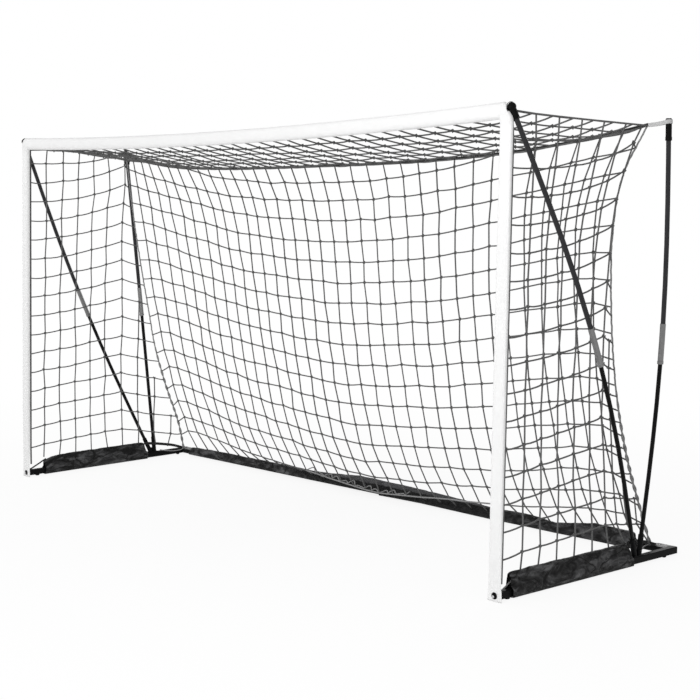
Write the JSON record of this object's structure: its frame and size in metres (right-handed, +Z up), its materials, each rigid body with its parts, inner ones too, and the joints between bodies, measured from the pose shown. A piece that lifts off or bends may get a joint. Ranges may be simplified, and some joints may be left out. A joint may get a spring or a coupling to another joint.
{
  "type": "portable football goal",
  "caption": "Portable goal with a low steel ground frame, bowed plug-in poles, white fabric crossbar and uprights, and a tied net. The rear poles lift out of their sockets.",
  "frame": {"origin": "on the ground, under the middle of the whole goal's bounding box", "axes": "+X along the goal's width to the right as seen from the front, +Y to the back, +Z up; the mouth faces -Y"},
  "size_m": [4.1462, 1.2324, 2.0189],
  "materials": {
    "black_steel": "semi-gloss black powder coat",
    "pole_black": "black fibreglass tube, satin",
    "ferrule_steel": "plain drawn steel tube",
    "zinc_steel": "bright zinc plating",
    "black_plastic": "moulded black plastic",
    "black_rubber": "matte rubber",
    "white_nylon": "white coated nylon cloth",
    "black_nylon": "black coated nylon cloth",
    "white_twine": "twisted white polyester twine",
    "grey_webbing": "light webbing"
  },
  "bodies": {
    "frame": {"side_bar_left": "black_steel", "side_bar_right": "black_steel", "side_bar_front_plug_left": "black_plastic", "side_bar_front_plug_right": "black_plastic", "side_bar_rear_plug_left": "black_plastic", "side_bar_rear_plug_right": "black_plastic", "front_stud_left": "zinc_steel", "front_stud_right": "zinc_steel", "foot_front_left": "black_rubber", "foot_front_right": "black_rubber", "foot_rear_left": "black_rubber", "foot_rear_right": "black_rubber", "pole_socket_left": "black_steel", "pole_socket_right": "black_steel", "rear_corner_left": "black_steel", "rear_corner_right": "black_steel", "rear_bar_left": "black_steel", "rear_bar_middle": "black_steel", "rear_bar_right": "black_steel", "button_spring_corner_left": "zinc_steel", "button_spring_corner_right": "zinc_steel", "button_spring_middle_left": "zinc_steel", "button_spring_middle_right": "zinc_steel", "diagonal_pole_lower_left": "pole_black", "diagonal_pole_lower_right": "pole_black", "diagonal_pole_upper_left": "pole_black", "diagonal_pole_upper_right": "pole_black", "diagonal_ferrule_left": "ferrule_steel", "diagonal_ferrule_right": "ferrule_steel", "top_elbow_left": "black_plastic", "top_elbow_right": "black_plastic", "crossbar_pole_left": "pole_black", "crossbar_pole_middle": "pole_black", "crossbar_pole_right": "pole_black", "crossbar_sleeve": "white_nylon", "upright_sleeve_left": "white_nylon", "upright_sleeve_right": "white_nylon", "eyelet_left": "black_plastic", "eyelet_right": "black_plastic", "base_sleeve_left": "black_nylon", "base_sleeve_right": "black_nylon", "base_sleeve_rear": "black_nylon", "net_back": "white_twine", "net_top": "white_twine", "net_left": "white_twine", "net_right": "white_twine"},
    "rear_pole_set_left": {"rear_pole_lower_left": "pole_black", "rear_pole_upper_left": "pole_black", "rear_ferrule_left": "ferrule_steel", "rear_pole_cap_left": "black_plastic", "corner_strap_left": "grey_webbing"},
    "rear_pole_set_right": {"rear_pole_lower_right": "pole_black", "rear_pole_upper_right": "pole_black", "rear_ferrule_right": "ferrule_steel", "rear_pole_cap_right": "black_plastic", "corner_strap_right": "grey_webbing"},
    "button_corner_left": {"snap_button_corner_left": "zinc_steel"},
    "button_corner_right": {"snap_button_corner_right": "zinc_steel"},
    "button_middle_left": {"snap_button_middle_left": "zinc_steel"},
    "button_middle_right": {"snap_button_middle_right": "zinc_steel"}
  },
  "joints": [
    {"name": "rear_pole_lift_left", "type": "slide", "parent": "frame", "child": "rear_pole_set_left", "axis": [-0.1298, -0.002, 0.9915], "range_m": [0, 0.1]},
    {"name": "rear_pole_lift_right", "type": "slide", "parent": "frame", "child": "rear_pole_set_right", "axis": [0.1298, -0.002, 0.9915], "range_m": [0, 0.1]},
    {"name": "button_press_corner_left", "type": "slide", "parent": "frame", "child": "button_corner_left", "axis": [0, 0, -1], "range_m": [0, 0.0035], "stiffness_N_per_m": 1500, "springref_m": -0.004, "deforming": ["button_spring_corner_left"]},
    {"name": "button_press_corner_right", "type": "slide", "parent": "frame", "child": "button_corner_right", "axis": [0, 0, -1], "range_m": [0, 0.0035], "stiffness_N_per_m": 1500, "springref_m": -0.004, "deforming": ["button_spring_corner_right"]},
    {"name": "button_press_middle_left", "type": "slide", "parent": "frame", "child": "button_middle_left", "axis": [0, 0, -1], "range_m": [0, 0.0035], "stiffness_N_per_m": 1500, "springref_m": -0.004, "deforming": ["button_spring_middle_left"]},
    {"name": "button_press_middle_right", "type": "slide", "parent": "frame", "child": "button_middle_right", "axis": [0, 0, -1], "range_m": [0, 0.0035], "stiffness_N_per_m": 1500, "springref_m": -0.004, "deforming": ["button_spring_middle_right"]}
  ]
}
